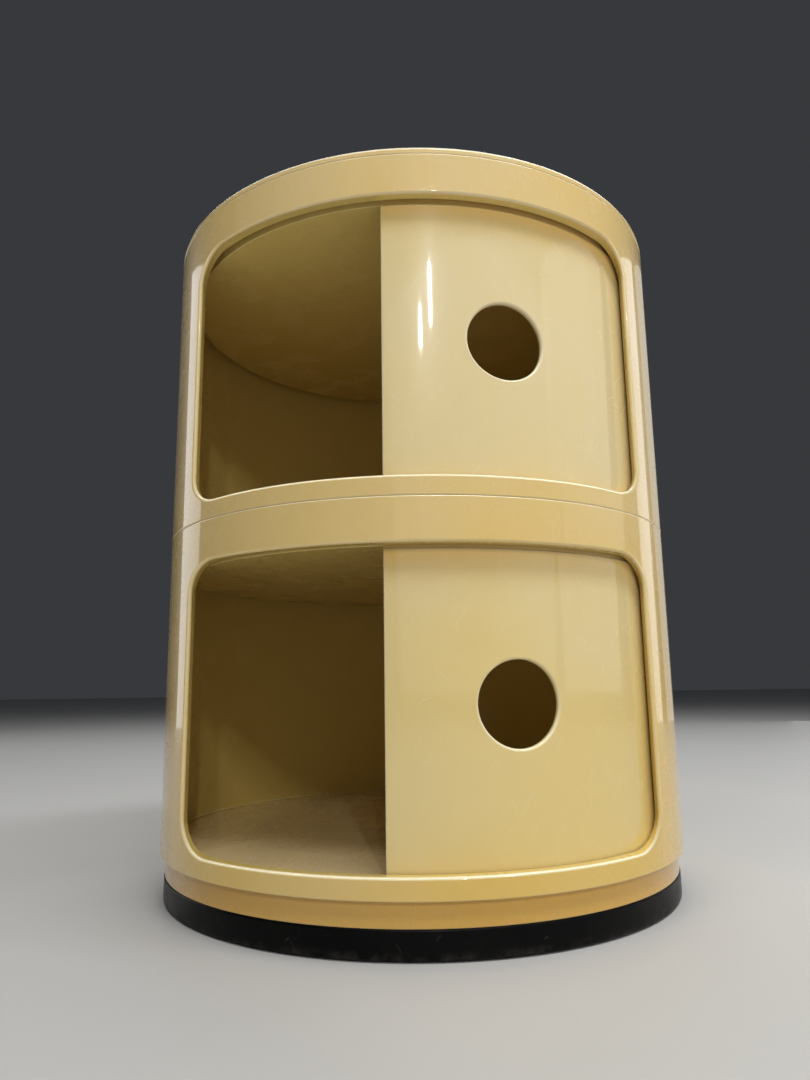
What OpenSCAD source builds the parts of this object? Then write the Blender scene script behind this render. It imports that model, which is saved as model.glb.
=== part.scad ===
// Round two-tier storage unit with curved sliding doors, on a plinth.
// The axis of the round body is Z, the openings face -Y, and the floor it stands on is z = 0.
// Azimuth 0 is the middle of the front (-Y) and grows towards +X.

/* [Body] */
// Outer radius of the round body
body_r = 160; // [150:1:180]
// Height of one tier, from the lower edge of its shell to the upper edge
tier_h = 185; // [150:1:240]
// Wall thickness of the shells
wall_t = 3; // [2.5:0.1:3.5]
// Thickness of the floors, ceilings and webs
panel_t = 2.5; // [2:0.1:3]
// Rounding of the outer edges of a shell
edge_r = 1.2; // [0.6:0.1:1.4]

/* [Opening] */
// Width of a front opening between its upright edges
opening_w = 250; // [180:1:260]
// Height of the opening's sill above the shell's lower edge
sill_h = 10.5; // [10:0.5:20]
// Distance from the opening's upper edge to the shell's upper edge
head_h = 23; // [21:0.5:35]
// Corner radius of the opening
opening_corner_r = 17; // [8:1:30]
// Width of the thickened rim that frames the opening
frame_w = 3; // [2:0.5:4]

/* [Door] */
// Thickness of a door panel
door_t = 3; // [2.6:0.1:3.2]
// Arc that a door spans, in degrees
door_arc = 115; // [112:1:140]
// Azimuth of the door's leading edge at rest, in degrees
door_edge_az = -6; // [-57:1:50]
// Diameter of the finger hole
finger_hole_d = 42; // [30:1:50]
// Angle from the door's leading edge to the middle of the finger hole
finger_hole_az = 24.7; // [20:0.1:57]
// Height by which the door's thin top tongue runs up into the ceiling track
tongue_h = 7; // [5:0.5:7.5]
// Thickness of the tongue
tongue_t = 1.6; // [1.2:0.1:1.8]

/* [Stacking] */
// Length of the skirt that plugs into the tier or plinth below
skirt_h = 12; // [10:0.5:13]
// Radial play between a skirt and the wall that it plugs into
fit_gap = 0.4; // [0.3:0.05:0.6]

/* [Top tray] */
// Height of the rim that shows above the upper shell
rim_h = 4; // [3:0.5:8]
// Depth of the recess below the rim
recess_h = 10; // [7:0.5:13]

/* [Plinth] */
// Height of the plinth's black band, pads included
plinth_h = 14; // [12:0.5:30]
// Radius of the plinth's outer face
plinth_r = 157; // [148:0.5:177]
// Number of rubber pads
pad_count = 6; // [4:1:12]
// Diameter of a rubber pad
pad_d = 13; // [10:0.5:13]

/* [Hidden] */

$fn = 180;

// Levels of the stack
lower_z = plinth_h + skirt_h;
upper_z = lower_z + tier_h;
rim_z = upper_z + tier_h;

// Radii, from the wall inwards
inner_r = body_r - wall_t;
tray_r = inner_r - fit_gap;
lip_t = 2.3;
track_w = 4.6;
door_play = 1.1;
track_out_r = tray_r - lip_t;
track_in_r = track_out_r - track_w;
rib_in_r = track_in_r - panel_t;
skirt_in_r = tray_r - wall_t;
door_out_r = track_out_r - door_play;
door_in_r = door_out_r - door_t;

// Heights inside one tier, above the shell's lower edge
floor_top_h = 8;
lip_h = 6;
door_low_h = 0.4;
door_high_h = tier_h - head_h - 1.8;
ceiling_h = tier_h - head_h;
well_h = tier_h - skirt_h;
ledge_h = 2.5;
finger_hole_h = 85 / 185 * tier_h;

// Plinth section
plinth_low_h = 1;
plinth_wall_t = 3;
plinth_channel_w = 13.5;
plinth_in_r = plinth_r - 2 * plinth_wall_t - plinth_channel_w;
pad_ring_r = plinth_r - plinth_wall_t - plinth_channel_w / 2;
boss_d = plinth_channel_w + 1;
boss_low_h = 3;
upstand_t = 2.6;
upstand_h = 8;
upstand_gap = 0.4;

ivory = [0.86, 0.78, 0.57];
ivory_door = [0.89, 0.82, 0.62];
ochre = [0.82, 0.66, 0.36];
black = [0.06, 0.06, 0.065];
rubber = [0.02, 0.02, 0.02];

// Section of a ring between two radii and two heights
module band(r_in, r_out, low, high) {
    translate([r_in, low]) square([r_out - r_in, high - low]);
}

// Section of a ring whose outer corners are rounded, the lower by r_low and the upper by r_high
module rounded_band(r_in, r_out, low, high, r_low, r_high) {
    r_most = max(r_low, r_high);
    band(r_in, r_out - r_most, low, high);
    band(r_in, r_out, low + r_low, high - r_high);
    band(r_in, r_out - r_low, low, low + r_low);
    band(r_in, r_out - r_high, high - r_high, high);
    if (r_low > 0) translate([r_out - r_low, low + r_low]) circle(r = r_low);
    if (r_high > 0) translate([r_out - r_high, high - r_high]) circle(r = r_high);
}

// Rectangle with round corners, about its own middle
module rounded_rect(w, h, r) {
    square([w - 2 * r, h], center = true);
    square([w, h - 2 * r], center = true);
    for (sx = [-1, 1], sz = [-1, 1]) {
        translate([sx * (w / 2 - r), sz * (h / 2 - r)]) circle(r = r);
    }
}

// Straight cutter of the opening's outline, grown by a margin, from the axis out past the front
module opening_prism(grow) {
    open_h = tier_h - head_h - sill_h;
    translate([0, 0, sill_h + open_h / 2])
        rotate([90, 0, 0])
            linear_extrude(height = body_r + 20)
                rounded_rect(opening_w + 2 * grow, open_h + 2 * grow, opening_corner_r + grow);
}

// Turns a shape drawn along +X to an azimuth
module at_azimuth(az) {
    rotate([0, 0, az - 90]) children();
}

// Shell: round wall with a framed front opening and two inner ledges
module shell() {
    difference() {
        union() {
            rotate_extrude() {
                rounded_band(inner_r, body_r, 0, tier_h, edge_r, edge_r);
                band(track_out_r, inner_r + 0.5, lip_h, floor_top_h);
                band(track_out_r, inner_r + 0.5, well_h - panel_t - ledge_h, well_h - panel_t);
            }
            intersection() {
                rotate_extrude()
                    band(track_out_r, inner_r + 0.5, sill_h - frame_w, tier_h - head_h + frame_w);
                opening_prism(frame_w);
            }
        }
        opening_prism(0);
    }
}

// Floor tray: compartment floor, the door's lower track, and the skirt that plugs in below
module floor_tray() {
    rotate_extrude() {
        band(0, track_in_r, floor_top_h - panel_t, floor_top_h);
        band(rib_in_r, track_in_r, -panel_t, floor_top_h);
        band(rib_in_r, tray_r, -panel_t, 0);
        band(skirt_in_r, tray_r, -skirt_h, 0);
        band(track_out_r, tray_r, -panel_t, lip_h);
    }
}

// Ceiling tray: a shallow dish hung from the upper ledge, whose side forms the door's upper track
module ceiling_tray() {
    rotate_extrude() {
        band(0, track_in_r, ceiling_h, ceiling_h + panel_t);
        band(rib_in_r, track_in_r, ceiling_h, well_h);
        band(rib_in_r, tray_r, well_h - panel_t, well_h);
    }
}

// Door: curved panel with a finger hole and a thin top tongue
module door() {
    difference() {
        at_azimuth(door_edge_az)
            rotate_extrude(angle = door_arc) {
                band(door_in_r, door_out_r, door_low_h, door_high_h);
                band(door_in_r, door_in_r + tongue_t, door_high_h - 1, door_high_h + tongue_h);
            }
        at_azimuth(door_edge_az + finger_hole_az)
            translate([door_in_r - door_t, 0, finger_hole_h])
                rotate([0, 90, 0])
                    cylinder(d = finger_hole_d, h = 3 * door_t);
    }
}

module plinth_ring() {
    shelf_low = plinth_h - panel_t;
    channel_in_r = plinth_in_r + plinth_wall_t;
    upstand_r = skirt_in_r - upstand_gap;
    color(black) {
        rotate_extrude() {
            rounded_band(plinth_r - plinth_wall_t, plinth_r, plinth_low_h, plinth_h, 0.6, 1);
            band(plinth_in_r, plinth_r - 1, shelf_low, plinth_h);
            band(plinth_in_r, channel_in_r, plinth_low_h, plinth_h);
            band(upstand_r - upstand_t, upstand_r, shelf_low, plinth_h + upstand_h);
        }
        for (i = [0 : pad_count - 1]) {
            rotate([0, 0, i * 360 / pad_count])
                translate([pad_ring_r, 0, boss_low_h])
                    cylinder(d = boss_d, h = plinth_h - 1 - boss_low_h);
        }
    }
}

module plinth_pads() {
    color(rubber)
        for (i = [0 : pad_count - 1]) {
            rotate([0, 0, i * 360 / pad_count])
                translate([pad_ring_r, 0, 0])
                    cylinder(d = pad_d, h = boss_low_h);
        }
}

module lower_floor_tray() {
    color(ochre) translate([0, 0, lower_z]) floor_tray();
}

module upper_floor_tray() {
    color(ochre) translate([0, 0, upper_z]) floor_tray();
}

module lower_shell() {
    color(ivory) translate([0, 0, lower_z]) shell();
}

module upper_shell() {
    color(ivory) translate([0, 0, upper_z]) shell();
}

module lower_ceiling_tray() {
    color(ivory) translate([0, 0, lower_z]) ceiling_tray();
}

module upper_ceiling_tray() {
    color(ivory) translate([0, 0, upper_z]) ceiling_tray();
}

module lower_door() {
    color(ivory_door) translate([0, 0, lower_z]) door();
}

module upper_door() {
    color(ivory_door) translate([0, 0, upper_z]) door();
}

// Lid: a tray with a rim that sits on the upper shell and a skirt that plugs into it
module top_tray() {
    rim_round = 2;
    tray_floor = rim_z + rim_h - recess_h;
    color(ivory)
        rotate_extrude() {
            rounded_band(skirt_in_r, body_r, rim_z, rim_z + rim_h, 0.4, rim_round);
            band(skirt_in_r, tray_r, rim_z - skirt_h, rim_z + 1);
            band(0, skirt_in_r + 1, tray_floor - panel_t, tray_floor);
        }
}

plinth_ring();
plinth_pads();
lower_floor_tray();
lower_shell();
lower_ceiling_tray();
lower_door();
upper_floor_tray();
upper_shell();
upper_ceiling_tray();
upper_door();
top_tray();
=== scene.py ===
import math

import bpy
from mathutils import Matrix, Vector


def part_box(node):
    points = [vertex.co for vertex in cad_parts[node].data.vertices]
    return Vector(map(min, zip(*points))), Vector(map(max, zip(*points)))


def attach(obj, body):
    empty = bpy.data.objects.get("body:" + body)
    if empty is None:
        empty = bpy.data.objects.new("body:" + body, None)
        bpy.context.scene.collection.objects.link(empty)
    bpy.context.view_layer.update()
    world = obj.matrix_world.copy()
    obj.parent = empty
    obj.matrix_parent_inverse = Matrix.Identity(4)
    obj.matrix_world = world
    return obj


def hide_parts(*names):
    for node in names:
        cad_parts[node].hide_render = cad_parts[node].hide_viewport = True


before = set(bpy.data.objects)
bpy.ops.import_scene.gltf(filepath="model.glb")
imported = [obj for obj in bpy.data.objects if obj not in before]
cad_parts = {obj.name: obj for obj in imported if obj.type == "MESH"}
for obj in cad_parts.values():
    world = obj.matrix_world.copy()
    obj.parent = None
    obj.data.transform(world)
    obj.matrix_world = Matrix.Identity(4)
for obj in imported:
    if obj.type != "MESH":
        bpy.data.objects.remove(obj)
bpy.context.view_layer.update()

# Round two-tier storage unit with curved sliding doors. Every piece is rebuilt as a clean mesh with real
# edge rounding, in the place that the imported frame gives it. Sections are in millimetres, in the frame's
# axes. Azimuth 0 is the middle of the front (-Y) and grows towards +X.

MM = 0.001
TURN = 2 * math.pi
QUARTER = math.pi / 2


# ---------------------------------------------------------------------------------------------------------
# Driving dimensions
# ---------------------------------------------------------------------------------------------------------

def low_z(node):
    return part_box(node)[0].z / MM


def high_z(node):
    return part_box(node)[1].z / MM


def outer_r(node):
    return -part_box(node)[0].y / MM


# Levels and outer radii, from the frame
BODY_R = outer_r("lower_shell")
TRAY_R = outer_r("lower_floor_tray")
DOOR_R = outer_r("lower_door")
PLINTH_R = outer_r("plinth_ring")
TIER_H = high_z("lower_shell") - low_z("lower_shell")
TIER_Z = {"lower": low_z("lower_shell"), "upper": low_z("upper_shell")}
RIM_Z = high_z("upper_shell")
TOP_Z = high_z("top_tray")
PLINTH_Z = low_z("lower_floor_tray")

# Where a door starts and ends at rest
DOOR_START = math.asin(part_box("lower_door")[0].x / MM / DOOR_R)
DOOR_END = math.acos(-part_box("lower_door")[1].y / MM / DOOR_R)

# Wall thicknesses
WALL = 3.0
PANEL = 2.5
INNER_R = BODY_R - WALL

# Fillets that several pieces share, from a hairline to the widest
HAIR = 0.1
CRISP = 0.3
FINE = 0.4
EASED = 0.5
SOFT = 0.6
WIDE = 0.8

# Floor tray, ceiling tray and the door tracks that they form with the shell
LIP = 2.3
TRACK = 4.6
TRACK_OUT_R = TRAY_R - LIP
TRACK_IN_R = TRACK_OUT_R - TRACK
RIB_R = TRACK_IN_R - PANEL
SKIRT_R = TRAY_R - WALL
SKIRT_H = TIER_Z["lower"] - PLINTH_Z
WELL_H = TIER_H - SKIRT_H
FLOOR_H = 8.0
LIP_H = 6.0

# Ledges inside the shell: one stands on the floor tray and one carries the ceiling tray
FLOOR_LEDGE_H = 2.0
CEILING_LEDGE_H = 2.5
LEDGE_GAP = 0.2

# Front opening, in heights above the lower edge of its shell
OPENING_W = 250.0
SILL_H = 10.5
LINTEL_H = TIER_H - 23.0
CORNER_R = 17.0
OPENING_ROUND = 1.5
FRAME_ROUND = 0.25
FRAME_W = 3.0
STEP_ROUND = 0.4

# Ends of the shell. The gap keeps its lower end clear of the face that it stands on.
SHELL_ROUND = 0.8
SHELL_INNER_ROUND = 0.4
SEAT_GAP = 0.05

# Door
DOOR_T = 3.0
DOOR_IN_R = DOOR_R - DOOR_T
DOOR_LOW_H = 0.4
DOOR_HIGH_H = LINTEL_H - 1.8
TONGUE_T = 1.6
TONGUE_H = high_z("lower_door") - TIER_Z["lower"]
DOOR_ROUND = 1.0
DOOR_INNER_ROUND = 0.6

# Finger hole
HOLE_R = 21.0
HOLE_AZ = DOOR_START + math.radians(24.7)
HOLE_H = 85.0
HOLE_ROUND = 1.5

# Lid
RECESS = 10.0
RIM_ROUND = 2.0
RIM_INNER_ROUND = 1.6

# Plinth: a channel that is open below, an upstand that the skirt sits round, and bosses for the pads
PLINTH_LOW_Z = low_z("plinth_ring")
PLINTH_HIGH_Z = high_z("plinth_ring")
PLINTH_WALL = 3.0
PLINTH_ROUND = 1.0
CHANNEL_W = 13.5
CHANNEL_OUT_R = PLINTH_R - PLINTH_WALL
CHANNEL_IN_R = CHANNEL_OUT_R - CHANNEL_W
PLINTH_IN_R = CHANNEL_IN_R - PLINTH_WALL
UPSTAND_OUT_R = SKIRT_R - 0.4
UPSTAND_IN_R = UPSTAND_OUT_R - 2.6
BOSS_LOW_Z = high_z("plinth_pads")
BOSS_HIGH_Z = PLINTH_Z - 1
BOSS_R = (CHANNEL_W + 1) / 2
BOSS_ROOT_ROUND = 0.2
PAD_COUNT = 6
PAD_R = 6.5
PAD_RING_R = CHANNEL_OUT_R - CHANNEL_W / 2

# Mesh density of turned pieces and fillets
SEGMENTS = 288
BOSS_SEGMENTS = 48
PAD_SEGMENTS = 64
FILLET_STEPS = 5
LID_FILLET_STEPS = 7
COLUMN_STEP = math.radians(1.25)

# The shell's patch is the part round its opening, from -PATCH_AZ to PATCH_AZ. A collar of even quads lies
# along the opening, and COLLAR_SHARES places the rows between the patch's border and the collar.
PATCH_AZ = math.radians(65)
STRAIGHT_STEPS = {"upright": 24, "level": 72}
CORNER_STEPS = 14
COLLAR_W = 6.0
COLLAR_SHARES = (0, 0.3, 0.65, 1)
BACK_SWEEP = TURN - 2 * PATCH_AZ
BACK_COLUMNS = round(BACK_SWEEP / COLUMN_STEP)
BACK_AZ = [PATCH_AZ + BACK_SWEEP * c / BACK_COLUMNS for c in range(1, BACK_COLUMNS)]

# The door's patch is the part round its finger hole, HOLE_PATCH to each side of the hole's middle
HOLE_PATCH = 32.0
HOLE_PATCH_AZ = HOLE_PATCH / DOOR_R
HOLE_SIDE_STEPS = 24
HOLE_SHARES = (0.25, 0.5, 0.75, 1)
ROWS_BELOW_HOLE = [12, 25, 39]
ROWS_ABOVE_HOLE = [130, 144]
TIP_AZ = 2 * DOOR_ROUND / DOOR_R

# Tolerances: points that count as one, points on the axis, points on a face, and normals that face out
SAME_PLACE = 0.0001
ON_AXIS = 0.000001
ON_FACE = 0.01
FACING = 0.99


# ---------------------------------------------------------------------------------------------------------
# Mesh building
# ---------------------------------------------------------------------------------------------------------

class Skin:
    """Points, exact normals and faces of one piece, in millimetres. The edge weight for wear and painted
    highlight is 1 on the crests of its edges.
    """

    def __init__(self):
        self.points = []
        self.normals = []
        self.wear_and_highlight = []
        self.faces = []

    def add(self, point, normal, wear_and_highlight=0.0):
        self.points.append(Vector(point))
        self.normals.append(Vector(normal).normalized())
        self.wear_and_highlight.append(wear_and_highlight)
        return len(self.points) - 1

    def row(self, pairs, wear_and_highlight=0.0):
        return [self.add(point, normal, wear_and_highlight) for point, normal in pairs]

    def face(self, corners):
        """Adds a face, turned so that it looks the way its points' normals do."""
        ring = [c for i, c in enumerate(corners) if c != corners[i - 1]]
        if len(ring) < 3:
            return
        area = Vector((0, 0, 0))
        first = self.points[ring[0]]
        for a, b in zip(ring[1:-1], ring[2:]):
            area += (self.points[a] - first).cross(self.points[b] - first)
        facing = sum((self.normals[c] for c in ring), Vector((0, 0, 0)))
        self.faces.append(ring if area.dot(facing) >= 0 else ring[::-1])

    def weave(self, one, other, closed=True):
        """Joins two rows of equal length with quads."""
        count = len(one)
        for i in range(count if closed else count - 1):
            j = (i + 1) % count
            self.face([one[i], one[j], other[j], other[i]])

    def weave_all(self, rows, closed=True):
        for one, other in zip(rows, rows[1:]):
            self.weave(one, other, closed)


def shares(steps):
    return [k / steps for k in range(steps + 1)]


def spaced(start, end, steps):
    """Evenly spaced numbers after start, the last of them at end."""
    return [start + (end - start) * (k + 1) / steps for k in range(steps)]


def between(one, other, share):
    return one[0] + (other[0] - one[0]) * share, one[1] + (other[1] - one[1]) * share


def crest(share):
    """Edge wear and painted highlight across a fillet: none where it meets its faces and most in the middle.
    """
    return math.sin(math.pi * share)


def turned(vector, angle):
    """A vector of the plane, turned counter-clockwise."""
    c, s = math.cos(angle), math.sin(angle)
    return Vector((vector.x * c - vector.y * s, vector.x * s + vector.y * c))


def fillet_arc(before, here, after, radius, steps):
    """Points, normals, and the weight of edge wear and painted highlight, of the fillet at one corner of an
    outline.
    """
    back = (here - before).normalized()
    ahead = (after - here).normalized()
    turn = math.atan2(back.x * ahead.y - back.y * ahead.x, back.dot(ahead))
    side = 1 if turn > 0 else -1
    start = here - back * radius * math.tan(abs(turn) / 2)
    normal = Vector((back.y, -back.x))
    centre = start - normal * radius * side
    arc = []
    for share in shares(steps):
        out = turned(normal, turn * share)
        arc.append((centre + out * radius * side, out, crest(share) if side > 0 else 0.0))
    return arc


def rounded(corners, closed=True, steps=FILLET_STEPS):
    """Points, normals, corner numbers and the weight of edge wear and painted highlight of an outline in the
    (r, z) plane with rounded corners.

    Corners are (r, z, radius) and run counter-clockwise. A fourth entry lists heights at which the straight
    after that corner gets a point. An open outline starts and ends on the axis.
    """
    path = []
    last = len(corners) - 1
    for i, corner in enumerate(corners):
        here = Vector(corner[:2])
        if not closed and i in (0, last):
            path.append((here, Vector((0, -1 if i == 0 else 1)), i, 0.0))
            continue
        before = Vector(corners[i - 1][:2])
        after = Vector(corners[0 if i == last else i + 1][:2])
        arc = fillet_arc(before, here, after, corner[2], steps)
        path += [(point, out, i, wear_and_highlight) for point, out, wear_and_highlight in arc]
        ahead = (after - here).normalized()
        for height in (corner[3] if len(corner) > 3 else []):
            path.append((Vector((here.x, height)), Vector((ahead.y, -ahead.x)), i, 0.0))
    return path


def spun(path_point, path_normal, angle):
    """A point and normal of the (r, z) plane, turned about the axis to a polar angle."""
    c, s = math.cos(angle), math.sin(angle)
    return ((path_point.x * c, path_point.x * s, path_point.y),
            (path_normal.x * c, path_normal.x * s, path_normal.y))


def lathe(skin, corners, closed=True, segments=SEGMENTS, centre=(0, 0), steps=FILLET_STEPS):
    """Turns an outline about an upright axis and adds it to the skin as one closed solid."""
    rows = []
    shift = Vector((centre[0], centre[1], 0))
    for point, normal, _, wear_and_highlight in rounded(corners, closed, steps):
        if point.x < ON_AXIS:
            rows.append([skin.add(Vector((0, 0, point.y)) + shift, (0, 0, normal.y))] * segments)
            continue
        pairs = [spun(point, normal, TURN * k / segments) for k in range(segments)]
        rows.append(skin.row([(Vector(p) + shift, n) for p, n in pairs], wear_and_highlight))
    skin.weave_all(rows)
    if closed:
        skin.weave(rows[-1], rows[0])


def disc_skin(outline, base=0.0, steps=FILLET_STEPS):
    """A piece that is turned from one outline, which starts and ends on the axis."""
    skin = Skin()
    lathe(skin, [(r, z + base, fillet) for r, z, fillet in outline], closed=False, steps=steps)
    return skin


def on_wall(radius, azimuth, height, side=1):
    """A point of an upright round wall and its normal: side 1 faces out and -1 faces the axis."""
    s, c = math.sin(azimuth), math.cos(azimuth)
    return (radius * s, -radius * c, height), (side * s, -side * c, 0)


def blend_on_wall(radius, one, other, share, side):
    """A wall point between two (azimuth, height) places."""
    azimuth, height = between(one, other, share)
    return on_wall(radius, azimuth, height, side)


# ---------------------------------------------------------------------------------------------------------
# Cuts that are pulled straight through a round wall along Y. Their outline is a list of samples
# (x, z, nx, nz): a point of the outline in the XZ plane and the direction away from the opening.
# ---------------------------------------------------------------------------------------------------------

def grown(sample, margin):
    x, z, nx, nz = sample
    return x + nx * margin, z + nz * margin


def wall_place(sample, margin, radius):
    """(azimuth, height) of an outline point that is grown by a margin and laid on a round wall."""
    x, z = grown(sample, margin)
    return math.asin(x / radius), z


def wall_depth(sample, margin, radius):
    """Y of the round wall's front there, and how fast it falls back per millimetre away from the opening."""
    x, _ = grown(sample, margin)
    reach = math.sqrt(radius * radius - x * x)
    return -reach, sample[2] * x / reach


def arc_point(sample, margin, depth, fillet, angle, side=1):
    """A point on a fillet whose centre is margin away from the outline and at y = depth. Side is -1 for a
    hollow fillet."""
    _, _, nx, nz = sample
    c, s = math.cos(angle), math.sin(angle)
    x, z = grown(sample, margin + side * fillet * c)
    return (x, depth + side * fillet * s, z), (nx * c, s, nz * c)


def outer_fillet(sample, radius, fillet, share):
    """Fillet from the outer face (share 0) to the straight side of the opening (share 1)."""
    face, slope = wall_depth(sample, 0, radius)
    depth = face + slope * fillet + fillet * math.hypot(1, slope)
    angle = 3 * QUARTER + math.atan(slope)
    return arc_point(sample, fillet, depth, fillet, angle + (math.pi - angle) * share)


def outer_tangent(sample, radius, fillet):
    """How far from the opening that fillet meets the outer face."""
    _, slope = wall_depth(sample, 0, radius)
    return fillet * (1 + slope / math.hypot(1, slope))


def inner_fillet(sample, radius, fillet, share):
    """Fillet from the straight side of the opening (share 0) to the inner face (share 1)."""
    face, slope = wall_depth(sample, 0, radius)
    depth = face + slope * fillet - fillet * math.hypot(1, slope)
    angle = QUARTER + math.atan(slope)
    return arc_point(sample, fillet, depth, fillet, math.pi + (angle - math.pi) * share)


def step_crest(sample, radius, margin, fillet, share):
    """Fillet from the inner face of a raised frame (share 0) to the frame's outer side (share 1)."""
    face, slope = wall_depth(sample, margin, radius)
    depth = face - slope * fillet - fillet * math.hypot(1, slope)
    angle = QUARTER + math.atan(slope)
    return arc_point(sample, margin - fillet, depth, fillet, angle * (1 - share))


def step_foot(sample, radius, margin, fillet, share):
    """Hollow fillet from the frame's outer side (share 0) to the inner face of the wall (share 1)."""
    face, slope = wall_depth(sample, margin, radius)
    depth = face + slope * fillet + fillet * math.hypot(1, slope)
    angle = QUARTER + math.atan(slope)
    return arc_point(sample, margin + fillet, depth, fillet, angle * share, side=-1)


# ---------------------------------------------------------------------------------------------------------
# Shell
# ---------------------------------------------------------------------------------------------------------

def opening_outline(end_gap):
    """Samples of the front opening, with the place on the patch's border that each one belongs to. The
    patch stops end_gap short of the shell's lower and upper ends."""
    half = {"upright": OPENING_W / 2, "level": (LINTEL_H - SILL_H) / 2}
    middle = (LINTEL_H + SILL_H) / 2
    ends = {-1: SEAT_GAP + end_gap, 1: TIER_H - end_gap}
    samples = []
    borders = []
    for side in range(4):
        kind, other = ("upright", "level") if side % 2 == 0 else ("level", "upright")
        nx, nz = round(math.cos(side * QUARTER)), round(math.sin(side * QUARTER))
        tx, tz = -nz, nx
        along = half[other] - CORNER_R
        for k in range(STRAIGHT_STEPS[kind]):
            reach = along * (2 * k / STRAIGHT_STEPS[kind] - 1)
            x, z = nx * half[kind] + tx * reach, middle + nz * half[kind] + tz * reach
            samples.append((x, z, nx, nz))
            borders.append((nx * PATCH_AZ, z) if kind == "upright" else (math.asin(x / BODY_R), ends[nz]))
        centre_x = nx * (half[kind] - CORNER_R) + tx * along
        centre_z = middle + nz * (half[kind] - CORNER_R) + tz * along
        sx, sz = (nx or tx), (nz or tz)
        upright_end = (sx * PATCH_AZ, middle + sz * (half["level"] - CORNER_R))
        level_end = (math.asin(sx * (half["upright"] - CORNER_R) / BODY_R), ends[sz])
        stops = [upright_end, (sx * PATCH_AZ, ends[sz]), level_end]
        if kind == "level":
            stops.reverse()
        for k in range(CORNER_STEPS):
            angle = (side + k / CORNER_STEPS) * QUARTER
            c, s = math.cos(angle), math.sin(angle)
            samples.append((centre_x + CORNER_R * c, centre_z + CORNER_R * s, c, s))
            stop, share = divmod(2 * k / CORNER_STEPS, 1)
            borders.append(between(stops[int(stop)], stops[int(stop) + 1], share))
    return samples, borders


def border_runs():
    """Sample numbers along the patch's four borders: upwards on the upright ones and from left to right,
    seen from the front, on the level ones."""
    upright = STRAIGHT_STEPS["upright"] + CORNER_STEPS
    level = STRAIGHT_STEPS["level"] + CORNER_STEPS
    count = 2 * (upright + level)
    start = -CORNER_STEPS // 2
    runs = {}
    for name, steps in (("right", upright), ("top", level), ("left", upright), ("bottom", level)):
        runs[name] = [i % count for i in range(start, start + steps + 1)]
        start += steps
    runs["top"].reverse()
    runs["left"].reverse()
    return runs


def opening_rows(row, samples, outer_border, inner_border):
    """Rows from the patch's border on the outer face, through the framed opening, to the inner face's."""
    rows = []
    for share in COLLAR_SHARES:
        rows.append(row([blend_on_wall(BODY_R, b, wall_place(s, COLLAR_W, BODY_R), share, 1)
                         for s, b in zip(samples, outer_border)]))
    rows.append(row([on_wall(BODY_R, *wall_place(s, outer_tangent(s, BODY_R, OPENING_ROUND), BODY_R))
                     for s in samples]))
    for share in shares(FILLET_STEPS)[1:]:
        rows.append(row([outer_fillet(s, BODY_R, OPENING_ROUND, share) for s in samples], crest(share)))
    for share in shares(FILLET_STEPS - 1):
        rows.append(row([inner_fillet(s, TRACK_OUT_R, FRAME_ROUND, share) for s in samples]))
    for share in shares(FILLET_STEPS):
        rows.append(row([step_crest(s, TRACK_OUT_R, FRAME_W, STEP_ROUND, share) for s in samples]))
    for share in shares(FILLET_STEPS):
        rows.append(row([step_foot(s, INNER_R, FRAME_W, STEP_ROUND, share) for s in samples]))
    for share in COLLAR_SHARES[::-1]:
        rows.append(row([blend_on_wall(INNER_R, b, wall_place(s, COLLAR_W, INNER_R), share, -1)
                         for s, b in zip(samples, inner_border)]))
    return rows


def wall_round_the_back(skin, row, radius, side, edge, border, runs):
    """One face of the wall, from the patch's right border round the back to its left one. Returns the
    points of its lower and upper ends, the patch's included."""
    grid = [[edge[i] for i in runs["right"]]]
    for azimuth in BACK_AZ:
        grid.append(row([on_wall(radius, azimuth, border[i][1], side) for i in runs["right"]]))
    grid.append([edge[i] for i in runs["left"]])
    skin.weave_all(grid, closed=False)
    return ([edge[i] for i in runs["bottom"]] + [column[0] for column in grid[1:-1]],
            [edge[i] for i in runs["top"]] + [column[-1] for column in grid[1:-1]])


def end_rows(row, azimuths, height, up):
    """Rows of a round end of the wall, from the outer face to the inner. Up is 1 at the top and -1 below."""
    rows = []
    for radius, fillet, begin, steps in (
            (BODY_R - SHELL_ROUND, SHELL_ROUND, 0, shares(FILLET_STEPS)[1:]),
            (INNER_R + SHELL_INNER_ROUND, SHELL_INNER_ROUND, QUARTER, shares(FILLET_STEPS)[:-1])):
        for share in steps:
            c, s = math.cos(begin + QUARTER * share), math.sin(begin + QUARTER * share)
            z = height - up * (fillet - fillet * s)
            rows.append(row([(on_wall(radius + fillet * c, azimuth, z)[0], on_wall(c, azimuth, up * s)[0])
                             for azimuth in azimuths], crest(share)))
    return rows


def add_ledges(skin, base):
    """The two ledges inside the shell, as rings that reach into its wall."""
    out_r, in_r = INNER_R + LEDGE_GAP, TRACK_OUT_R + LEDGE_GAP
    ceiling = WELL_H - PANEL
    for low, high in ((LIP_H, LIP_H + FLOOR_LEDGE_H), (ceiling - CEILING_LEDGE_H, ceiling)):
        lathe(skin, [(in_r, low + base, FINE), (out_r, low + base, HAIR),
                     (out_r, high + base, HAIR), (in_r, high + base, FINE)])


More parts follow.
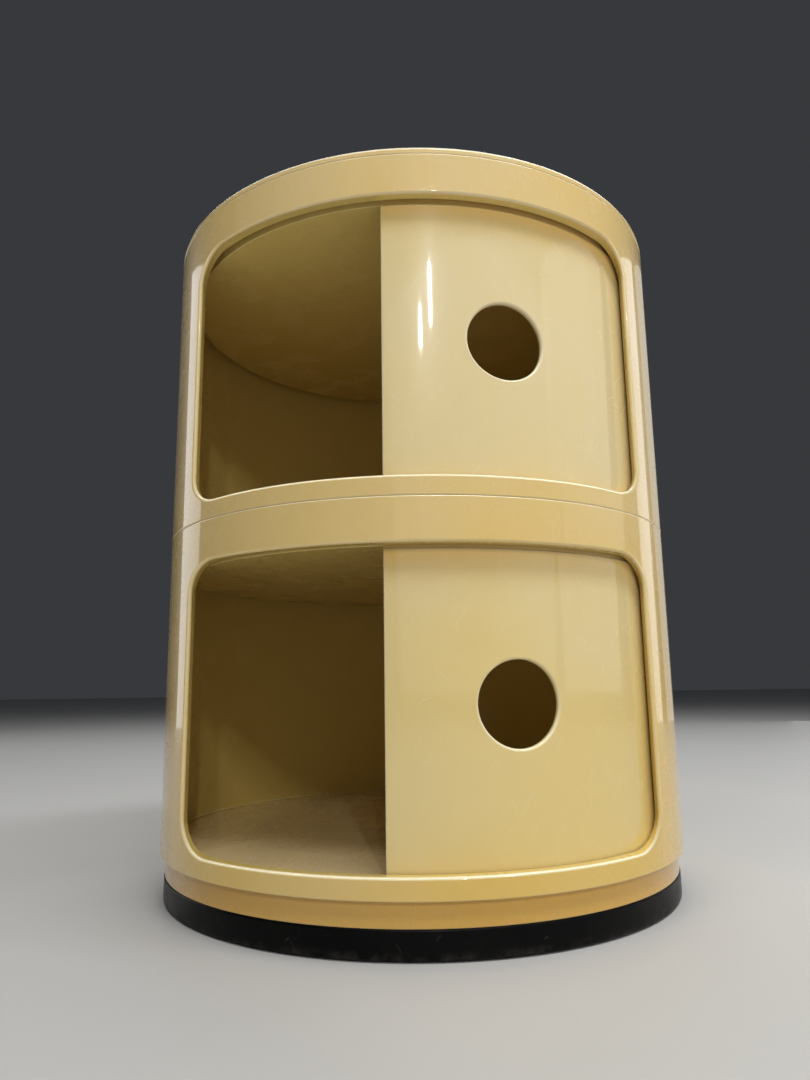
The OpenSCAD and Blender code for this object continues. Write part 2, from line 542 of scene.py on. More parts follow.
def shell_skin(base):
    """One tier's round wall with its framed front opening, as a closed solid."""
    skin = Skin()
    lift = Vector((0, 0, base))

    def row(pairs, wear_and_highlight=0.0):
        return skin.row([(Vector(p) + lift, n) for p, n in pairs], wear_and_highlight)

    samples, outer_border = opening_outline(SHELL_ROUND)
    _, inner_border = opening_outline(SHELL_INNER_ROUND)
    rows = opening_rows(row, samples, outer_border, inner_border)
    skin.weave_all(rows)

    runs = border_runs()
    outer_ends = wall_round_the_back(skin, row, BODY_R, 1, rows[0], outer_border, runs)
    inner_ends = wall_round_the_back(skin, row, INNER_R, -1, rows[-1], inner_border, runs)
    azimuths = [outer_border[i][0] for i in runs["bottom"]] + BACK_AZ
    for outer, inner, height, up in zip(outer_ends, inner_ends, (SEAT_GAP, TIER_H), (-1, 1)):
        skin.weave_all([outer] + end_rows(row, azimuths, height, up) + [inner])
    add_ledges(skin, base)
    return skin


# ---------------------------------------------------------------------------------------------------------
# Door
# ---------------------------------------------------------------------------------------------------------

def door_section():
    """Points, normals, end fillets and the weight of edge wear and painted highlight of the door's section in
    the (r, z) plane: a plate with a thin tongue on top. Both faces have points at the same heights."""
    low = HOLE_H - HOLE_PATCH
    patch = [low + 2 * HOLE_PATCH * share for share in shares(HOLE_SIDE_STEPS)]
    heights = ROWS_BELOW_HOLE + patch + ROWS_ABOVE_HOLE
    tongue_r = DOOR_IN_R + TONGUE_T
    corners = [
        (DOOR_IN_R, DOOR_LOW_H, DOOR_INNER_ROUND),
        (DOOR_R, DOOR_LOW_H, DOOR_ROUND, heights),
        (DOOR_R, DOOR_HIGH_H, DOOR_ROUND),
        (tongue_r, DOOR_HIGH_H, CRISP),
        (tongue_r, TONGUE_H, DOOR_INNER_ROUND),
        (DOOR_IN_R, TONGUE_H, DOOR_INNER_ROUND, heights[::-1]),
    ]
    outer_corners = (1, 2)
    return [(point, normal, DOOR_ROUND if corner in outer_corners else DOOR_INNER_ROUND, wear_and_highlight)
            for point, normal, corner, wear_and_highlight in rounded(corners)]


def door_column(skin, section, base, azimuth, end=0, share=0.0):
    """The section at one azimuth. Within a round end, which is 1 or -1, share runs from 0 on the face to 1
    at the tip. Points that fall together there become one."""
    turn = share * QUARTER
    added = []
    for point, normal, fillet, wear_and_highlight in section:
        inset = fillet * (1 - math.cos(turn))
        at = azimuth - end * fillet * (1 - math.sin(turn)) / DOOR_R
        place, out = spun(point - normal * inset, normal, at - QUARTER)
        place = Vector(place) + Vector((0, 0, base))
        along = Vector((math.cos(at), math.sin(at), 0)) * end
        mixed = Vector(out) * math.cos(turn) + along * math.sin(turn)
        same = bool(added) and (skin.points[added[-1]] - place).length < SAME_PLACE
        added.append(added[-1] if same else skin.add(place, mixed, max(wear_and_highlight, crest(share))))
    return added


def door_stops():
    """Azimuths of the columns between the door's round ends: before, across and after the hole's patch."""
    start, end = DOOR_START + TIP_AZ, DOOR_END - TIP_AZ
    hole_start, hole_end = HOLE_AZ - HOLE_PATCH_AZ, HOLE_AZ + HOLE_PATCH_AZ
    before = [start] + spaced(start, hole_start, round((hole_start - start) / COLUMN_STEP))
    across = spaced(hole_start, hole_end, HOLE_SIDE_STEPS)
    after = spaced(hole_end, end, round((end - hole_end) / COLUMN_STEP))
    return before, across, after


def patch_rows(section):
    """Numbers of the section's points within the hole's patch, going up: on the outer face and the inner."""
    low, high = HOLE_H - HOLE_PATCH - ON_FACE, HOLE_H + HOLE_PATCH + ON_FACE
    level = [(i, point, normal) for i, (point, normal, _, _) in enumerate(section) if low < point.y < high]
    outer = [i for i, point, normal in level if normal.x > FACING and point.x > DOOR_R - ON_FACE]
    inner = [i for i, point, normal in level if normal.x < -FACING]
    return outer, inner[::-1]


def weave_door(skin, grid, patch_columns, patch):
    """Joins the door's columns, except where the hole's patch comes, and closes the two tips."""
    skipped = {frozenset(pair) for rows in patch for pair in zip(rows, rows[1:])}
    count = len(grid[0])
    for c, (one, other) in enumerate(zip(grid, grid[1:])):
        for i in range(count):
            j = (i + 1) % count
            if c in patch_columns and frozenset((i, j)) in skipped:
                continue
            skin.face([one[i], one[j], other[j], other[i]])
    skin.face(grid[0])
    skin.face(grid[-1])


def hole_outline():
    """Samples of the finger hole, and the (column, row) of the patch's border that each one belongs to."""
    samples = []
    borders = []
    steps = HOLE_SIDE_STEPS
    for side in range(4):
        for k in range(steps):
            angle = (side + k / steps) * QUARTER - QUARTER / 2
            c, s = math.cos(angle), math.sin(angle)
            samples.append((HOLE_R * c, HOLE_R * s, c, s))
            borders.append([(steps, k), (steps - k, steps), (0, steps - k), (k, 0)][side])
    return samples, borders


def hole_rows(row, samples, borders):
    """Rows from the patch on the outer face, through the finger hole, to the patch on the inner face. They
    are made as if the hole's axis were -Y, and row turns them."""
    steps = HOLE_SIDE_STEPS
    edges = [((2 * c / steps - 1) * HOLE_PATCH_AZ, (2 * r / steps - 1) * HOLE_PATCH) for c, r in borders]

    def face_rows(radius, margins, side):
        return [row([blend_on_wall(radius, edge, wall_place(s, margin, radius), share, side)
                     for s, edge, margin in zip(samples, edges, margins)]) for share in HOLE_SHARES]

    rows = face_rows(DOOR_R, [outer_tangent(s, DOOR_R, HOLE_ROUND) for s in samples], 1)
    for share in shares(FILLET_STEPS)[1:]:
        rows.append(row([outer_fillet(s, DOOR_R, HOLE_ROUND, share) for s in samples], crest(share)))
    for share in shares(FILLET_STEPS)[:-1]:
        rows.append(row([inner_fillet(s, DOOR_IN_R, DOOR_INNER_ROUND, share) for s in samples]))
    rows += face_rows(DOOR_IN_R, [DOOR_INNER_ROUND] * len(samples), -1)[::-1]
    return rows


def door_skin(base):
    """Curved door: its section swept round the axis between two round ends, with a finger hole."""
    skin = Skin()
    section = door_section()
    before, across, after = door_stops()
    grid = [door_column(skin, section, base, DOOR_START, -1, 1 - share) for share in shares(FILLET_STEPS)]
    grid += [door_column(skin, section, base, azimuth) for azimuth in before + across + after]
    grid += [door_column(skin, section, base, DOOR_END, 1, share) for share in shares(FILLET_STEPS)]
    first = FILLET_STEPS + len(before)
    patch = patch_rows(section)
    weave_door(skin, grid, range(first, first + HOLE_SIDE_STEPS), patch)

    spin = Matrix.Rotation(HOLE_AZ, 3, "Z")
    lift = Vector((0, 0, base + HOLE_H))

    def row(pairs, wear_and_highlight=0.0):
        return skin.row([(spin @ Vector(p) + lift, spin @ Vector(n)) for p, n in pairs], wear_and_highlight)

    samples, borders = hole_outline()
    outer_border, inner_border = [[grid[first + c][rows[r]] for c, r in borders] for rows in patch]
    skin.weave_all([outer_border] + hole_rows(row, samples, borders) + [inner_border])
    return skin


# ---------------------------------------------------------------------------------------------------------
# Turned pieces
# ---------------------------------------------------------------------------------------------------------

def floor_tray_skin(base):
    """Compartment floor, the lower door track and the skirt that plugs in below."""
    floor_low = FLOOR_H - PANEL
    return disc_skin([
        (0, floor_low, 0), (RIB_R, floor_low, WIDE), (RIB_R, -PANEL, SOFT), (SKIRT_R, -PANEL, SOFT),
        (SKIRT_R, -SKIRT_H, EASED), (TRAY_R, -SKIRT_H, SOFT), (TRAY_R, LIP_H, FINE),
        (TRACK_OUT_R, LIP_H, FINE), (TRACK_OUT_R, 0, FINE), (TRACK_IN_R, 0, FINE),
        (TRACK_IN_R, FLOOR_H, WIDE), (0, FLOOR_H, 0)], base)


def ceiling_tray_skin(base):
    """Shallow dish over the compartment. Its side forms the upper door track."""
    dish_high = LINTEL_H + PANEL
    return disc_skin([
        (0, LINTEL_H, 0), (TRACK_IN_R, LINTEL_H, FINE), (TRACK_IN_R, WELL_H - PANEL, FINE),
        (TRAY_R, WELL_H - PANEL, FINE), (TRAY_R, WELL_H, EASED), (RIB_R, WELL_H, EASED),
        (RIB_R, dish_high, WIDE), (0, dish_high, 0)], base)


def lid_skin():
    """Top tray: rim, recessed floor, and the skirt that plugs into the upper shell."""
    floor = TOP_Z - RECESS
    skirt_low = RIM_Z - SKIRT_H
    return disc_skin([
        (0, floor - PANEL, 0), (SKIRT_R, floor - PANEL, WIDE), (SKIRT_R, skirt_low, FINE),
        (TRAY_R, skirt_low, EASED), (TRAY_R, RIM_Z, CRISP), (BODY_R, RIM_Z, EASED),
        (BODY_R, TOP_Z, RIM_ROUND), (SKIRT_R, TOP_Z, RIM_INNER_ROUND), (SKIRT_R, floor, RIM_INNER_ROUND),
        (0, floor, 0)], steps=LID_FILLET_STEPS)


def pad_places():
    angles = [TURN * k / PAD_COUNT for k in range(PAD_COUNT)]
    return [(PAD_RING_R * math.cos(a), PAD_RING_R * math.sin(a)) for a in angles]


def plinth_skin():
    """Black ring with an open channel below, an upstand above, and bosses for the pads."""
    skin = Skin()
    shelf_low = PLINTH_Z - PANEL
    lathe(skin, [
        (PLINTH_IN_R, PLINTH_LOW_Z, FINE), (CHANNEL_IN_R, PLINTH_LOW_Z, FINE),
        (CHANNEL_IN_R, shelf_low, EASED), (CHANNEL_OUT_R, shelf_low, EASED),
        (CHANNEL_OUT_R, PLINTH_LOW_Z, FINE), (PLINTH_R, PLINTH_LOW_Z, WIDE),
        (PLINTH_R, PLINTH_Z, PLINTH_ROUND), (UPSTAND_OUT_R, PLINTH_Z, CRISP),
        (UPSTAND_OUT_R, PLINTH_HIGH_Z, EASED), (UPSTAND_IN_R, PLINTH_HIGH_Z, EASED),
        (UPSTAND_IN_R, PLINTH_Z, CRISP), (PLINTH_IN_R, PLINTH_Z, SOFT)])
    boss = [(0, BOSS_LOW_Z, 0), (BOSS_R, BOSS_LOW_Z, EASED), (BOSS_R, BOSS_HIGH_Z, BOSS_ROOT_ROUND),
            (0, BOSS_HIGH_Z, 0)]
    for place in pad_places():
        lathe(skin, boss, closed=False, segments=BOSS_SEGMENTS, centre=place)
    return skin


def pads_skin():
    """Rubber pads, from the floor up to their bosses."""
    skin = Skin()
    pad = [(0, 0, 0), (PAD_R, 0, WIDE), (PAD_R, BOSS_LOW_Z, CRISP), (0, BOSS_LOW_Z, 0)]
    for place in pad_places():
        lathe(skin, pad, closed=False, segments=PAD_SEGMENTS, centre=place)
    return skin


# ---------------------------------------------------------------------------------------------------------
# Materials
# ---------------------------------------------------------------------------------------------------------

class Nodes:
    """Short calls for building a shader graph."""

    def __init__(self, name):
        self.material = bpy.data.materials.new(name)
        self.material.use_nodes = True
        self.tree = self.material.node_tree
        self.tree.nodes.clear()
        self.shader = self.new("ShaderNodeBsdfPrincipled")
        output = self.new("ShaderNodeOutputMaterial")
        self.link(self.shader.outputs["BSDF"], output.inputs["Surface"])
        self.place = self.new("ShaderNodeTexCoord").outputs["Object"]

    def new(self, kind, **settings):
        node = self.tree.nodes.new(kind)
        for key, value in settings.items():
            setattr(node, key, value)
        return node

    def link(self, source, target):
        self.tree.links.new(source, target)

    def feed(self, target, value):
        """Links a socket to another, or sets it to a value."""
        if isinstance(value, bpy.types.NodeSocket):
            self.link(value, target)
        else:
            target.default_value = value

    def shade(self, name, value):
        self.feed(self.shader.inputs[name], value)

    def split(self, vector):
        node = self.new("ShaderNodeSeparateXYZ")
        self.link(vector, node.inputs["Vector"])
        return node.outputs

    def mapped(self, scale=(1, 1, 1), turn=(0, 0, 0)):
        """Object coordinates, turned and scaled."""
        node = self.new("ShaderNodeMapping")
        self.link(self.place, node.inputs["Vector"])
        node.inputs["Scale"].default_value = scale
        node.inputs["Rotation"].default_value = turn
        return node.outputs["Vector"]

    def noise(self, scale, detail=3.0, rough=0.5, where=None, warp=0.0):
        node = self.new("ShaderNodeTexNoise")
        self.link(where or self.place, node.inputs["Vector"])
        node.inputs["Scale"].default_value = scale
        node.inputs["Detail"].default_value = detail
        node.inputs["Roughness"].default_value = rough
        node.inputs["Distortion"].default_value = warp
        return node.outputs["Fac"]

    def ramp(self, value, low, high, to_low=0.0, to_high=1.0):
        """Maps low..high to to_low..to_high, smoothly, and holds it there beyond them."""
        node = self.new("ShaderNodeMapRange", interpolation_type="SMOOTHSTEP")
        self.link(value, node.inputs["Value"])
        for key, number in (("From Min", low), ("From Max", high), ("To Min", to_low), ("To Max", to_high)):
            node.inputs[key].default_value = number
        return node.outputs["Result"]

    def math(self, operation, a, b=0.0):
        node = self.new("ShaderNodeMath", operation=operation)
        self.feed(node.inputs[0], a)
        self.feed(node.inputs[1], b)
        return node.outputs["Value"]

    def times(self, a, b):
        return self.math("MULTIPLY", a, b)

    def plus(self, a, b):
        return self.math("ADD", a, b)

    def greatest(self, *values):
        """The greatest of two or more values."""
        result = values[-1]
        for value in values[-2::-1]:
            result = self.math("MAXIMUM", value, result)
        return result

    def mix(self, share, a, b):
        node = self.new("ShaderNodeMix", data_type="RGBA")
        self.feed(node.inputs["Factor"], share)
        self.feed(node.inputs["A"], a if isinstance(a, bpy.types.NodeSocket) else (*a, 1))
        self.feed(node.inputs["B"], b if isinstance(b, bpy.types.NodeSocket) else (*b, 1))
        return node.outputs["Result"]

    def bump(self, height, strength, distance, base=None):
        node = self.new("ShaderNodeBump")
        self.link(height, node.inputs["Height"])
        self.feed(node.inputs["Strength"], strength)
        node.inputs["Distance"].default_value = distance
        if base is not None:
            self.link(base, node.inputs["Normal"])
        return node.outputs["Normal"]

    def facing_up(self):
        """1 on faces that look up, 0 on upright ones and -1 on faces that look down."""
        return self.split(self.new("ShaderNodeNewGeometry").outputs["Normal"])[2]

    def level(self, low, high):
        """Goes from low on upright faces to high on level ones."""
        return self.ramp(self.math("ABSOLUTE", self.facing_up()), 0.5, 0.9, low, high)

    def edges(self):
        """Paler edges: edge wear on the crests of rounded outer edges plus a painted highlight, most where
        they face up, and 0 on open faces.
        """
        wear_and_highlight = self.new("ShaderNodeAttribute", attribute_name="wear_and_highlight").outputs["Fac"]
        # Painted highlight: crests that face up get the most paling, as light from above would catch them.
        return self.times(wear_and_highlight, self.ramp(self.facing_up(), -0.3, 0.6, 0.25, 1.0))

    def surface_grid(self):
        """Coordinates laid on the surface, in metres: round and up on walls, and X and Y on level faces."""
        x, y, z = self.split(self.place)
        azimuth = self.math("ARCTAN2", x, self.times(y, -1.0))
        level = self.math("GREATER_THAN", self.math("ABSOLUTE", self.facing_up()), 0.7)
        wall = self.new("ShaderNodeCombineXYZ")
        self.link(self.times(azimuth, BODY_R * MM), wall.inputs["X"])
        self.link(z, wall.inputs["Y"])
        flat = self.new("ShaderNodeCombineXYZ")
        self.link(x, flat.inputs["X"])
        self.link(y, flat.inputs["Y"])
        grid = self.new("ShaderNodeMix", data_type="VECTOR")
        self.link(level, grid.inputs["Factor"])
        self.link(wall.outputs["Vector"], grid.inputs["A"])
        self.link(flat.outputs["Vector"], grid.inputs["B"])
        return grid.outputs["Result"]

    def scratches(self, grid, turn, width, length, share, half_width, seed):
        """Sparse, thin, nearly straight marks. The surface is divided into cells of width by length, turned
        by an angle in degrees, and a share of them gets one tapered mark at a random place and slant."""
        turned_grid = self.new("ShaderNodeMapping")
        self.link(grid, turned_grid.inputs["Vector"])
        turned_grid.inputs["Rotation"].default_value = (0, 0, math.radians(turn))
        turned_grid.inputs["Scale"].default_value = (1 / width, 1 / length, 1)
        turned_grid.inputs["Location"].default_value = (0, 0, seed)
        cell = self.new("ShaderNodeVectorMath", operation="FLOOR")
        self.link(turned_grid.outputs["Vector"], cell.inputs[0])
        within = self.new("ShaderNodeVectorMath", operation="FRACTION")
        self.link(turned_grid.outputs["Vector"], within.inputs[0])
        chance = self.new("ShaderNodeTexWhiteNoise", noise_dimensions="3D")
        self.link(cell.outputs["Vector"], chance.inputs["Vector"])
        across, along, _ = self.split(within.outputs["Vector"])
        place, slant, pick = self.split(chance.outputs["Color"])
        middle = self.plus(self.times(place, 0.5), 0.25)
        lean = self.times(self.math("SUBTRACT", slant, 0.5), self.math("SUBTRACT", along, 0.5))
        bend = self.times(self.times(along, along), 0.12)
        offset = self.math("SUBTRACT", across, self.plus(self.plus(middle, lean), bend))
        line = self.ramp(self.times(self.math("ABSOLUTE", offset), width / half_width), 1.0, 0.2)
        taper = self.ramp(self.math("PINGPONG", along, 0.5), 0.02, 0.3)
        return self.times(self.times(line, taper), self.math("LESS_THAN", pick, share))

    def specks(self, grid, spacing, size, share):
        """Small dots at random places: pits and dust."""
        cells = self.new("ShaderNodeTexVoronoi", feature="F1")
        self.link(grid, cells.inputs["Vector"])
        cells.inputs["Scale"].default_value = 1 / spacing
        pick, spread, _ = self.split(cells.outputs["Color"])
        reach = self.times(self.plus(spread, 0.3), size / spacing)
        near = self.math("LESS_THAN", self.math("SUBTRACT", cells.outputs["Distance"], reach), 0.0)
        return self.times(near, self.math("LESS_THAN", pick, share))


# Scratches: turn in degrees, then width and length of a cell, share of cells with a mark, half the mark's
# width, and seed. Lengths are in metres.
LONG_MARKS = ((3, 0.012, 0.035, 0.10, 0.00010, 3.0), (87, 0.010, 0.035, 0.12, 0.00010, 11.0))
SHORT_MARKS = ((38, 0.009, 0.006, 0.09, 0.00014, 23.0), (-27, 0.008, 0.007, 0.07, 0.00012, 31.0))
PLINTH_MARKS = ((87, 0.003, 0.02, 0.14, 0.00012, 5.0), (60, 0.005, 0.005, 0.12, 0.00012, 15.0))

# Specks: spacing and size in metres, and the share of places that get one
PITS = (0.009, 0.00022, 0.4)
DUST = (0.016, 0.00032, 0.3)
DUST_TURN = (0.3, 0.5, 0.2)
CHIPS = (0.007, 0.00035, 0.25)

# Colours of marks, and of the rubbed edges with their painted highlight
PALE_MARK = (0.90, 0.82, 0.62)
PALE_EDGE_AND_HIGHLIGHT = (0.93, 0.87, 0.62)
PLINTH_SCUFF = (0.24, 0.22, 0.19)
PLINTH_DUST = (0.2, 0.18, 0.15)

# Heights in metres: where yellowing starts and is full, and where the painted shade under the lintel starts
# within a tier
AGE_START_Z = 0.39
AGE_FULL_Z = 0.05
PAINTED_SHADE_START_H = 0.138


def aged_tone(n, flow, fresh, yellowed, deep):
    """Uneven yellowing that grows towards the floor, with upright streaks and stains."""
    cloud = n.times(n.ramp(n.noise(6.0), 0.36, 0.66), 0.45)
    age = n.plus(cloud, n.ramp(n.split(n.place)[2], AGE_START_Z, AGE_FULL_Z, 0.0, 0.55))
    tone = n.mix(age, fresh, yellowed)
    tone = n.mix(n.ramp(flow, 0.46, 0.74, 0.0, 0.22), tone, yellowed)
    stain = n.ramp(n.noise(19.0, 4.0, warp=0.4), 0.55, 0.8, 0.0, 0.2)
    return n.mix(stain, tone, deep)


def sheltered_part(n, inner_r):
    """1 nearer to the axis than inner_r and below the lid, and 0 elsewhere."""
    x, y, height = n.split(n.place)
    away = n.math("SQRT", n.plus(n.times(x, x), n.times(y, y)))
    inside = n.math("LESS_THAN", away, inner_r * MM)
    return n.times(inside, n.math("LESS_THAN", height, (RIM_Z - RECESS) * MM))


def lintel_painted_shade(n):
    """Patchy painted shade that grows towards the lintel of each tier, where the lintel shades the door."""
    height = n.split(n.place)[2]
    in_tier = n.math("MODULO", n.math("SUBTRACT", height, TIER_Z["lower"] * MM), TIER_H * MM)
    return n.times(n.ramp(in_tier, PAINTED_SHADE_START_H, LINTEL_H * MM), n.ramp(n.noise(9.0), 0.3, 0.6, 0.4))


def aged_relief(n, flow, marks):
    """Slow waves, flow lines, a faint orange peel and the cuts of the marks. Level faces get less of it."""
    wavy = n.bump(n.noise(13.0, 1.0, 0.3), n.level(0.35, 0.05), 0.0005)
    sink = n.bump(flow, n.level(0.2, 0.03), 0.00005, wavy)
    peel = n.bump(n.noise(600.0, 2.0), n.level(0.1, 0.02), 0.000008, sink)
    n.shade("Normal", n.bump(marks, 0.3, -0.00003, peel))
    n.shade("Coat Normal", sink)


def aged_plastic(name, fresh, yellowed, deep, sheltered, inner_r, gloss, shaded_under_lintel=False):
    """Glossy plastic that has yellowed unevenly, and more towards the floor, with faint upright flow streaks,
    fine scratches, pits, dust, and paler edges from wear and a painted highlight. Faces within inner_r, below
    the lid, have the tone of the sheltered inside. One that is shaded under the lintel gets painted shade
    just under the lintel."""
    n = Nodes(name)
    grid = n.surface_grid()
    flow = n.noise(1.0, 4.0, 0.62, where=n.mapped(scale=(110, 110, 4)))
    tone = aged_tone(n, flow, fresh, yellowed, deep)
    tone = n.mix(n.times(sheltered_part(n, inner_r), 0.8), tone, sheltered)
    # Painted shade: the door's top darkens towards the lintel, where the lintel shades it.
    if shaded_under_lintel:
        tone = n.mix(lintel_painted_shade(n), tone, deep)
    tone = n.mix(n.times(n.specks(grid, *PITS), 0.45), tone, [c * 0.3 for c in deep])
    dust = n.specks(n.mapped(turn=DUST_TURN), *DUST)
    long_marks = n.greatest(*(n.scratches(grid, *kind) for kind in LONG_MARKS))
    short_marks = n.greatest(*(n.scratches(grid, *kind) for kind in SHORT_MARKS))
    marks = n.greatest(long_marks, short_marks, dust)
    tone = n.mix(n.times(marks, 0.3), tone, PALE_MARK)
    # Paler edge crests: partly rubbed wear, partly a painted highlight.
    n.shade("Base Color", n.mix(n.times(n.edges(), 0.9), tone, PALE_EDGE_AND_HIGHLIGHT))

    rubbed = n.ramp(n.noise(34.0, 5.0, 0.6), 0.4, 0.75, 0.0, 0.08)
    fine = n.ramp(n.noise(480.0, 2.0), 0.35, 0.7, 0.0, 0.02)
    rough = n.plus(n.plus(rubbed, fine), gloss)
    n.shade("Roughness", n.plus(rough, n.times(marks, 0.25)))
    aged_relief(n, flow, marks)
    n.shade("IOR", 1.5)
    n.shade("Specular IOR Level", 0.12)
    n.shade("Coat Weight", 0.9)
    n.shade("Coat Roughness", 0.04)
    return n.material


def black_plastic():
    """Satin black plastic with pale scuffs and dust near the floor."""
    n = Nodes("plinth_black")
    grid = n.surface_grid()
    mottle = n.ramp(n.noise(30.0, 4.0, 0.6), 0.35, 0.7)
    tone = n.mix(mottle, (0.0016, 0.0016, 0.0017), (0.0034, 0.0033, 0.0032))
    scuffs = n.greatest(*(n.scratches(grid, *kind) for kind in PLINTH_MARKS))
    marks = n.greatest(scuffs, n.specks(grid, *CHIPS))
    tone = n.mix(n.times(marks, 0.07), tone, PLINTH_SCUFF)
    low = n.ramp(n.split(n.place)[2], 0.006, 0.001, 0.0, 0.12)
    dust = n.times(low, n.ramp(n.noise(160.0, 5.0, 0.7), 0.4, 0.7))
    n.shade("Base Color", n.mix(dust, tone, PLINTH_DUST))

    rough = n.ramp(n.noise(45.0, 4.0, 0.6), 0.3, 0.75, 0.3, 0.44)
    n.shade("Roughness", n.plus(rough, n.times(marks, 0.2)))
    grain = n.bump(n.noise(1500.0, 3.0, 0.6), 0.25, 0.00003)
    n.shade("Normal", n.bump(marks, 0.3, -0.00004, grain))
    n.shade("IOR", 1.4)
    n.shade("Specular IOR Level", 0.12)
    return n.material


def pad_rubber():
    """Matt black rubber with dust pressed into it."""
    n = Nodes("pad_rubber")
    dust = n.ramp(n.noise(260.0, 5.0, 0.7), 0.45, 0.72, 0.0, 0.6)
    n.shade("Base Color", n.mix(dust, (0.012, 0.012, 0.012), (0.07, 0.065, 0.058)))
    n.shade("Roughness", n.ramp(n.noise(500.0), 0.3, 0.7, 0.65, 0.85))
    n.shade("Normal", n.bump(n.noise(2200.0, 3.0, 0.6), 0.4, 0.00004))
    n.shade("IOR", 1.5)
    return n.material


def studio_floor():
    """Plain pale floor with a very faint mottle."""
    n = Nodes("studio_floor")
    n.shade("Base Color", n.mix(n.noise(3.0), (0.50, 0.495, 0.48), (0.54, 0.535, 0.52)))
    n.shade("Roughness", 0.55)
    return n.material


SHELL_PLASTIC = aged_plastic(
    "shell_ivory", fresh=(0.75, 0.57, 0.28), yellowed=(0.74, 0.50, 0.12), deep=(0.65, 0.41, 0.09),
    sheltered=(0.74, 0.56, 0.16), inner_r=BODY_R - WALL / 2, gloss=0.24)
# The door gets painted shade just under the lintel.
DOOR_PLASTIC = aged_plastic(
    "door_ivory", fresh=(0.75, 0.62, 0.35), yellowed=(0.76, 0.58, 0.22), deep=(0.72, 0.47, 0.14),
    sheltered=(0.74, 0.54, 0.20), inner_r=DOOR_IN_R + 1, gloss=0.22, shaded_under_lintel=True)
TRAY_PLASTIC = aged_plastic(
    "tray_ochre", fresh=(0.66, 0.42, 0.13), yellowed=(0.66, 0.38, 0.07), deep=(0.56, 0.31, 0.05),
    sheltered=(0.80, 0.65, 0.38), inner_r=TRACK_IN_R + 0.5, gloss=0.26)
PLINTH_PLASTIC = black_plastic()
PAD_RUBBER = pad_rubber()


# ---------------------------------------------------------------------------------------------------------
# Pieces
# ---------------------------------------------------------------------------------------------------------

def piece(name, skin, body, node, material):
    """Makes a skin into an object that rides on a body and stands for a CAD node."""
    mesh = bpy.data.meshes.new(name)
    mesh.from_pydata([p * MM for p in skin.points], [], skin.faces)
    mesh.polygons.foreach_set("use_smooth", [True] * len(mesh.polygons))
    mesh.normals_split_custom_set_from_vertices([tuple(n) for n in skin.normals])
    # The edge weight carries both edge wear and a painted highlight.
    mesh.attributes.new("wear_and_highlight", "FLOAT", "POINT").data.foreach_set("value", skin.wear_and_highlight)
    mesh.materials.append(material)
    obj = bpy.data.objects.new(name, mesh)
    bpy.context.scene.collection.objects.link(obj)
    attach(obj, body)
    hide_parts(node)


for tier, tier_z in TIER_Z.items():
    piece(tier + "_tray", floor_tray_skin(tier_z), tier + "_tray", tier + "_floor_tray",
          TRAY_PLASTIC)
    piece(tier + "_wall", shell_skin(tier_z), tier + "_tier", tier + "_shell",
          SHELL_PLASTIC)
    piece(tier + "_ceiling", ceiling_tray_skin(tier_z), tier + "_tier", tier + "_ceiling_tray",
          SHELL_PLASTIC)
    piece(tier + "_sliding_door", door_skin(tier_z), tier + "_door", tier + "_door",
          DOOR_PLASTIC)
piece("lid", lid_skin(), "top_tray", "top_tray", SHELL_PLASTIC)
piece("plinth", plinth_skin(), "plinth", "plinth_ring", PLINTH_PLASTIC)
piece("pads", pads_skin(), "plinth", "plinth_pads", PAD_RUBBER)


# ---------------------------------------------------------------------------------------------------------
# Floor, lights and camera. Places are in metres.
# ---------------------------------------------------------------------------------------------------------

FLOOR_HALF = 9.0
WORLD_COLOR = (0.86, 0.91, 1.0, 1)
WORLD_STRENGTH = 0.045

# Rectangular lights: name, azimuth and elevation in degrees, distance from the aim, width, height and
# watts. The two strips give the paired highlight on the upper door.
LIGHT_AIM = (0, 0, 0.2)
LIGHTS = (
    ("overhead", -14, 62, 1.7, 1.0, 0.3, 8),
    ("overhead_right", 42, 62, 1.7, 1.0, 0.3, 14),
    ("front", 27, 15, 2.0, 2.8, 1.3, 7),
    ("side_right", 82, 15, 2.0, 1.3, 1.3, 4),
    ("side_right_high", 98, 52, 2.0, 1.4, 0.7, 6),
    ("rear_right", 120, 13, 2.0, 0.44, 1.4, 2.7),
    ("rear_far_right", 141, 13, 2.0, 0.6, 1.4, 1.2),
    ("rear_left", -117, 13, 2.0, 0.66, 1.4, 4.4),
    ("back", 180, 52, 2.2, 1.8, 0.9, 16),
    ("strip_one", 3.6, 26.4, 2.0, 0.026, 0.1, 3),
    ("strip_two", 8.2, 28.9, 2.0, 0.026, 0.16, 4.5),
)

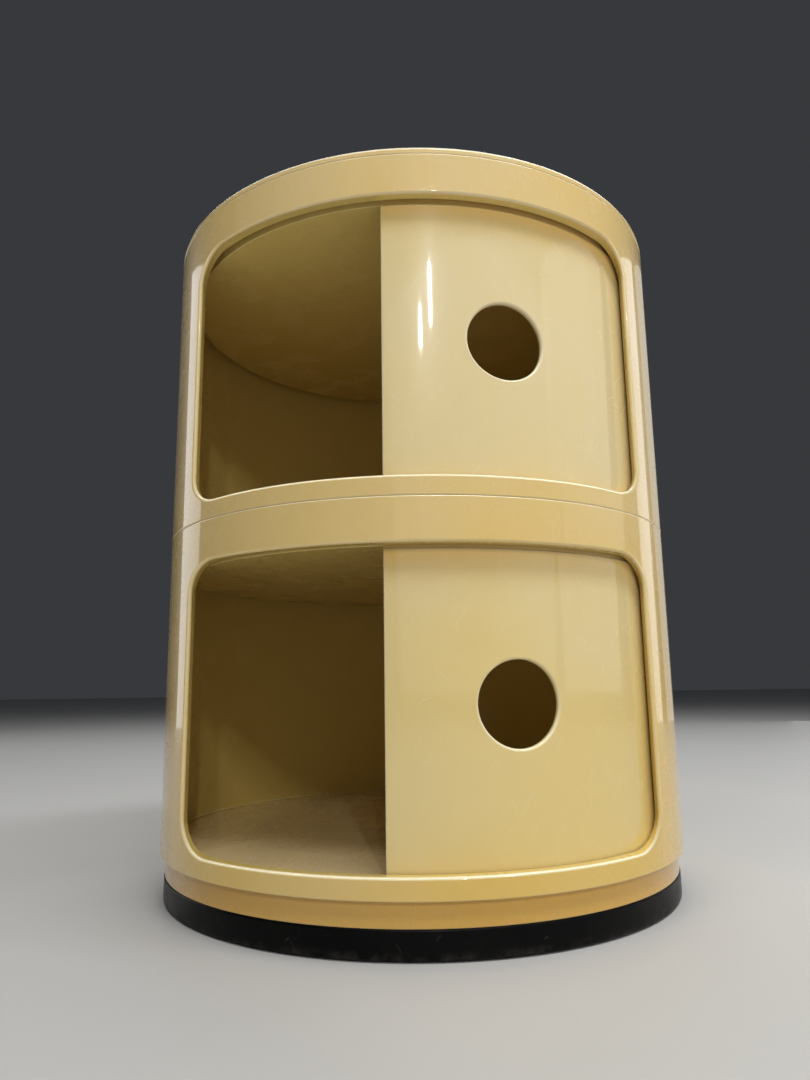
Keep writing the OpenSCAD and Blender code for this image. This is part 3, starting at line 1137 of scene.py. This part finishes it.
# The viewing angle: low in front of the unit and looking up a little, with a wide lens
SENSOR_MM = 36
LENS_MM = 25.99
CAMERA_PLACE = (0, -0.52689, 0.12107)
CAMERA_PITCH = math.radians(10.456)
CAMERA_YAW = math.radians(-0.793)
CAMERA_ROLL = math.radians(-0.796)


def make_floor():
    size = FLOOR_HALF
    corners = [(-size, -size, 0), (size, -size, 0), (size, size, 0), (-size, size, 0)]
    mesh = bpy.data.meshes.new("studio_floor")
    mesh.from_pydata(corners, [], [(0, 1, 2, 3)])
    mesh.materials.append(studio_floor())
    floor = bpy.data.objects.new("studio_floor", mesh)
    bpy.context.scene.collection.objects.link(floor)


def area_light(name, azimuth, elevation, distance, width, height, power):
    """Light on a sphere round the aim, turned towards it."""
    data = bpy.data.lights.new(name, "AREA")
    data.shape = "RECTANGLE"
    data.size = width
    data.size_y = height
    data.energy = power
    light = bpy.data.objects.new(name, data)
    light.visible_camera = False
    a, e = math.radians(azimuth), math.radians(elevation)
    away = Vector((math.cos(e) * math.sin(a), -math.cos(e) * math.cos(a), math.sin(e)))
    light.location = Vector(LIGHT_AIM) + away * distance
    light.rotation_mode = "QUATERNION"
    light.rotation_quaternion = away.to_track_quat("Z", "Y")
    bpy.context.scene.collection.objects.link(light)


def make_world():
    world = bpy.data.worlds.new("studio")
    bpy.context.scene.world = world
    world.use_nodes = True
    background = world.node_tree.nodes["Background"]
    background.inputs["Color"].default_value = WORLD_COLOR
    background.inputs["Strength"].default_value = WORLD_STRENGTH


def make_camera():
    data = bpy.data.cameras.new("camera")
    data.sensor_width = SENSOR_MM
    data.lens = LENS_MM
    camera = bpy.data.objects.new("camera", data)
    bpy.context.scene.collection.objects.link(camera)
    camera.location = CAMERA_PLACE
    level = Matrix.Rotation(-CAMERA_YAW, 3, "Z") @ Matrix.Rotation(QUARTER + CAMERA_PITCH, 3, "X")
    camera.rotation_mode = "QUATERNION"
    camera.rotation_quaternion = (level @ Matrix.Rotation(CAMERA_ROLL, 3, "Z")).to_quaternion()
    bpy.context.scene.camera = camera


bpy.context.scene.view_settings.view_transform = "Standard"
make_floor()
make_world()
for light in LIGHTS:
    area_light(*light)
make_camera()
